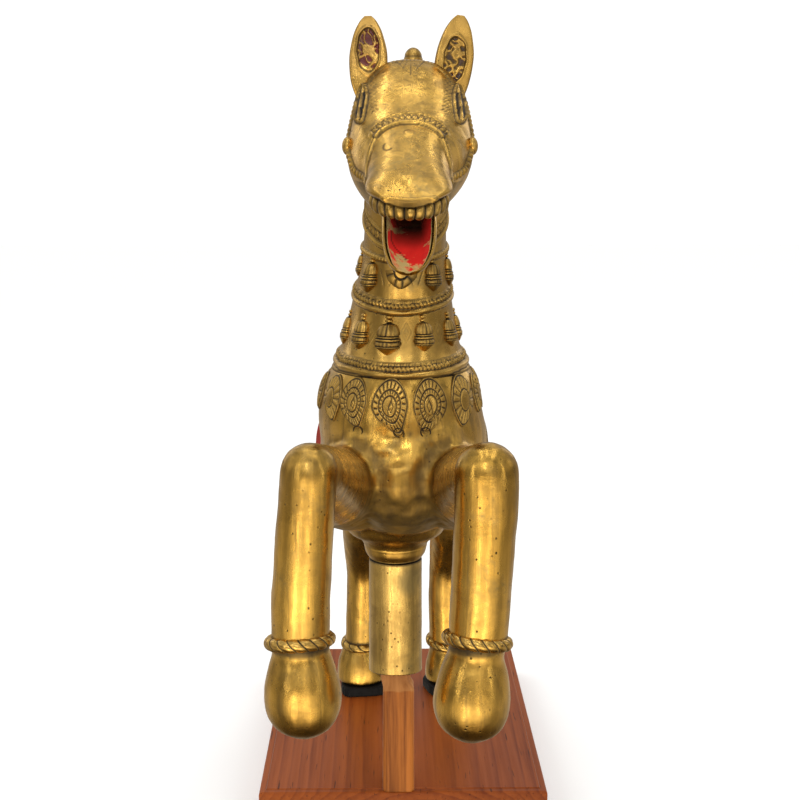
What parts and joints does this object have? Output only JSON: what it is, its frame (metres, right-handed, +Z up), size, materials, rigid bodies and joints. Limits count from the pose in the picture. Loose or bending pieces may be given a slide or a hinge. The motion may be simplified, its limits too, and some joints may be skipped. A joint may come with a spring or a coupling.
{
  "type": "horse statue",
  "caption": "Cast brass horse rearing on a brass tube over a wooden post and board, with open mouth, bell collars, mango medallions and rope anklets.",
  "frame": {"origin": "centre of the board's underside", "axes": "+Z up, the horse faces -Y, +X to the right in a view from the front"},
  "size_m": [0.305, 0.7784, 0.826],
  "materials": {
    "brass": "worn, polished by handling on the high places and dark in the recesses",
    "tube_brass": "worn smooth, scratched, with grey-green tarnish",
    "post_wood": "varnished, with a raw whittled top",
    "board_wood": "red-brown satin varnish",
    "black": "matt black"
  },
  "bodies": {
    "root": {"horse": "brass", "socket_tube": "tube_brass", "post": "post_wood", "base_board": "board_wood", "hoof_pad_left": "black", "hoof_pad_right": "black"}
  },
  "joints": []
}
